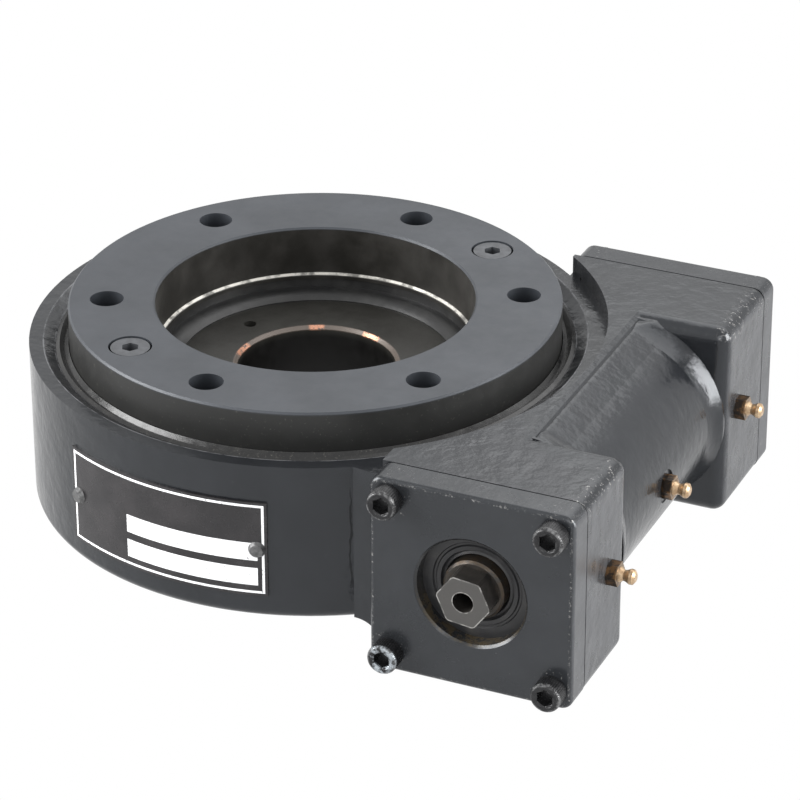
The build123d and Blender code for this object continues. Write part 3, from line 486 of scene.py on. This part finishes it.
give(steel("rivet_grey", (0.11, 0.11, 0.11), rough=0.40, metallic=0.7, scale=9.0,
           stain=(0.6, (0.03, 0.03, 0.03)), grain=0.0002), "nameplate_rivets")
give(plate_material(), "nameplate")


# ------------------------------------------------------------------ pieces made here
def loop(bm, pts):
    return [bm.verts.new(p) for p in pts]


def bridge(bm, a, b):
    """Band of faces between two closed loops."""
    n = len(a)
    for i in range(n):
        j = (i + 1) % n
        bm.faces.new((a[i], a[j], b[j], b[i]))


def add_piece(bm, name, material):
    """Makes the bmesh an object that stays with the housing."""
    bmesh.ops.recalc_face_normals(bm, faces=bm.faces)
    mesh = bpy.data.meshes.new(name)
    bm.to_mesh(mesh)
    piece = bpy.data.objects.new(name, mesh)
    bpy.context.scene.collection.objects.link(piece)
    mesh.materials.append(bpy.data.materials[material])
    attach(piece, "housing_body")
    return piece


def knurled_screw(bm, centre, out, head, edge, shank=15.9, knurl=0.06):
    """Socket cap screw along Y with a knurled head, sizes in mm; out is the head side."""
    n, cx, cy, cz = 168, *centre

    def around(y, reach):
        """Closed loop at height y; reach gives the radius of each point from its number."""
        pts = []
        for i in range(n):
            turn, r = 2 * math.pi * i / n, reach(i) * MM
            pts.append((cx + r * math.cos(turn), cy + out * y * MM, cz + r * math.sin(turn)))
        return loop(bm, pts)

    def ring(r, y, wave=0.0):
        return around(y, lambda i: r + wave * (1 if i % 4 < 2 else -1))

    def hexagon(flats, y):
        def reach(i):
            off = (2 * math.pi * i / n + math.pi / 6) % (math.pi / 3) - math.pi / 6
            return flats / 2 / math.cos(off)
        return around(y, reach)
    rings = [ring(2.5, -shank), ring(2.5, 0.02)]                                    # shank
    rings += [ring(4.85, 0.02), ring(4.87, 0.5, knurl * 0.5), ring(4.87, 0.8, knurl)]
    rings += [ring(4.87, head - edge - 0.3, knurl), ring(4.87, head - edge, 0.02)]  # knurled side
    rings += [ring(4.98 - edge * 0.55, head - edge * 0.25), ring(4.98 - edge, head)]
    rings += [ring(3.25, head), ring(3.0, head - 0.15)]                             # socket's edge
    rings += [hexagon(5.0, head - 0.35), hexagon(5.0, head * 0.45)]
    for a, b in zip(rings, rings[1:]):
        bridge(bm, a, b)
    bm.faces.new(rings[0])
    bm.faces.new(rings[-1])


def cap_screws(node, out, head, edge):
    """Four knurled screws in place of one plain CAD node."""
    low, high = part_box(node)
    face = (low[1] + head * MM) if out < 0 else (high[1] - head * MM)
    bm = bmesh.new()
    for x in (CX - SCREW_AT, CX + SCREW_AT):
        for z in (ZW - SCREW_AT, ZW + SCREW_AT):
            knurled_screw(bm, (x, face, z), out, head, edge)
    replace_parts(add_piece(bm, node + "_knurled", "screw_oxide"), node)


def barrel_crest():
    """Rough cast crown where the barrel runs out beside the flat web."""
    start, end = FRONT_BACK - 5 * MM, REAR_FRONT + 5 * MM
    steps, across = 120, 16
    near, wide, deep = 2.6, 10.5, 24                     # off the worm axis, across and down to its foot, mm
    barrel_r, flare, flare_run, crown = 30.5, 2.6, 7.8, 32.6
    bm = bmesh.new()
    rows = []
    for i in range(steps + 1):
        y = start + (end - start) * i / steps
        from_block = max(0, min(y - FRONT_BACK, REAR_FRONT - y) / MM)
        r = barrel_r + flare * (1 - min(1, from_block / flare_run)) ** 2
        pts = []
        for j in range(across + 1):
            t = j / across
            dx = near + wide * t
            fade = math.sin(math.pi * min(1, t * 3 + 0.25))
            rough = mnoise.noise(Vector((dx * 0.9, y / MM * 0.55, 3.0))) * 0.22 * fade
            lift = 2.5 * (1 - t) ** 1.7 - 0.9 * math.exp(-(t / 0.07) ** 2) + rough * (1 - t)
            height = min(math.sqrt(r ** 2 - dx ** 2) + lift - 0.12 * t, crown + rough)
            pts.append((CX + dx * MM, y, ZW + height * MM))
        pts += [(CX + dx * MM, y, ZW + deep * MM) for dx in (near + wide, near)]
        rows.append(loop(bm, pts))
    for a, b in zip(rows, rows[1:]):
        bridge(bm, a, b)
    bm.faces.new(rows[0])
    bm.faces.new(rows[-1])
    piece = add_piece(bm, "barrel_crest", "housing_enamel")
    for face in piece.data.polygons:
        face.use_smooth = len(face.vertices) == 4


cap_screws("input_cap_screws", out=-1, head=6.0, edge=0.7)
cap_screws("rear_cap_screws", out=1, head=3.4, edge=1.3)
barrel_crest()


# ------------------------------------------------------------------ camera, floor and light
def camera():
    """Long lens at the photograph's angle; right, up and back are the view's own directions."""
    az, el, roll = math.radians(24.28), math.radians(27.82), math.radians(-0.18)
    target = Vector((0, 0, 58.0)) * MM
    shift_right, shift_down, distance = 26.13 * MM, 15.63 * MM, 1307.1 * MM
    lens, aim_right, aim_down = 180.6777, 0.00086674, 0.00285425      # lens in mm, aim as slopes
    data = bpy.data.cameras.new("camera")
    cam = bpy.data.objects.new("camera", data)
    bpy.context.scene.collection.objects.link(cam)
    back = Vector((math.sin(az) * math.cos(el), -math.cos(az) * math.cos(el), math.sin(el)))
    right = Vector((math.cos(az), math.sin(az), 0))
    up = back.cross(right)
    eye = target + right * shift_right - up * shift_down + back * distance
    rolled_right = right * math.cos(roll) + up * math.sin(roll)
    rolled_up = up * math.cos(roll) - right * math.sin(roll)
    z = (back - rolled_right * aim_right + rolled_up * aim_down).normalized()
    x = (rolled_right - z * rolled_right.dot(z)).normalized()
    cam.matrix_world = Matrix.Translation(eye) @ Matrix((x, z.cross(x), z)).transposed().to_4x4()
    data.sensor_width, data.lens = 36.0, lens
    data.clip_end = 20
    bpy.context.scene.camera = cam


camera()


def seen(tree):
    """1 for the rays that look at the background: camera, glossy and transmission."""
    path = tree.nodes.new("ShaderNodeLightPath")
    total = path.outputs["Is Camera Ray"]
    for ray in ("Is Glossy Ray", "Is Transmission Ray"):
        both = tree.nodes.new("ShaderNodeMath")
        both.operation = "MAXIMUM"
        tree.links.new(total, both.inputs[0])
        tree.links.new(path.outputs[ray], both.inputs[1])
        total = both.outputs[0]
    return total


def white_floor():
    """Pale floor that is seen and mirrored as white, and lights the object as a plain pale surface."""
    m = bpy.data.materials.new("floor_white")
    m.use_nodes = True
    nt = m.node_tree
    nt.nodes.clear()
    out = nt.nodes.new("ShaderNodeOutputMaterial")
    mix = nt.nodes.new("ShaderNodeMixShader")
    dif = nt.nodes.new("ShaderNodeBsdfDiffuse")
    dif.inputs["Color"].default_value = (0.8, 0.8, 0.8, 1)
    em = nt.nodes.new("ShaderNodeEmission")
    em.inputs["Color"].default_value = (1, 1, 1, 1)
    nt.links.new(seen(nt), mix.inputs[0])
    nt.links.new(dif.outputs[0], mix.inputs[1])
    nt.links.new(em.outputs[0], mix.inputs[2])
    nt.links.new(mix.outputs[0], out.inputs[0])
    return m


bpy.ops.mesh.primitive_plane_add(size=8, location=(0, 0, -0.0005))
floor = bpy.context.object
floor.name = "floor"
floor.data.materials.append(white_floor())

world = bpy.data.worlds.new("studio")
bpy.context.scene.world = world
world.use_nodes = True
wn = world.node_tree
bg = wn.nodes["Background"]
sky = wn.nodes.new("ShaderNodeMix")
sky.data_type = "RGBA"
sky.inputs[6].default_value = (0.68, 0.70, 0.74, 1)
sky.inputs[7].default_value = (1, 1, 1, 1)
wn.links.new(seen(wn), sky.inputs[0])
wn.links.new(sky.outputs[2], bg.inputs[0])
bg.inputs[1].default_value = 1.0


def area(name, loc, aim, size, power, size_y=None):
    d = bpy.data.lights.new(name, "AREA")
    d.energy, d.size = power, size
    if size_y:
        d.shape, d.size_y = "RECTANGLE", size_y
    o = bpy.data.objects.new(name, d)
    o.location = loc
    o.rotation_euler = (Vector(aim) - Vector(loc)).to_track_quat("-Z", "Y").to_euler()
    bpy.context.scene.collection.objects.link(o)


area("key_left", (-0.9, -0.5, 0.55), (0, 0, 0.03), 0.8, 26, 0.9)
area("top_back", (0.2, 0.8, 1.2), (0, 0, 0.05), 1.6, 9, 1.1)
area("front_fill", (0.6, -1.3, 0.9), (0.05, 0, 0.03), 0.9, 6)
area("right_rim", (1.1, 0.2, 0.35), (0.08, 0, 0.03), 0.6, 20, 0.8)

bpy.context.scene.view_settings.view_transform = "Standard"
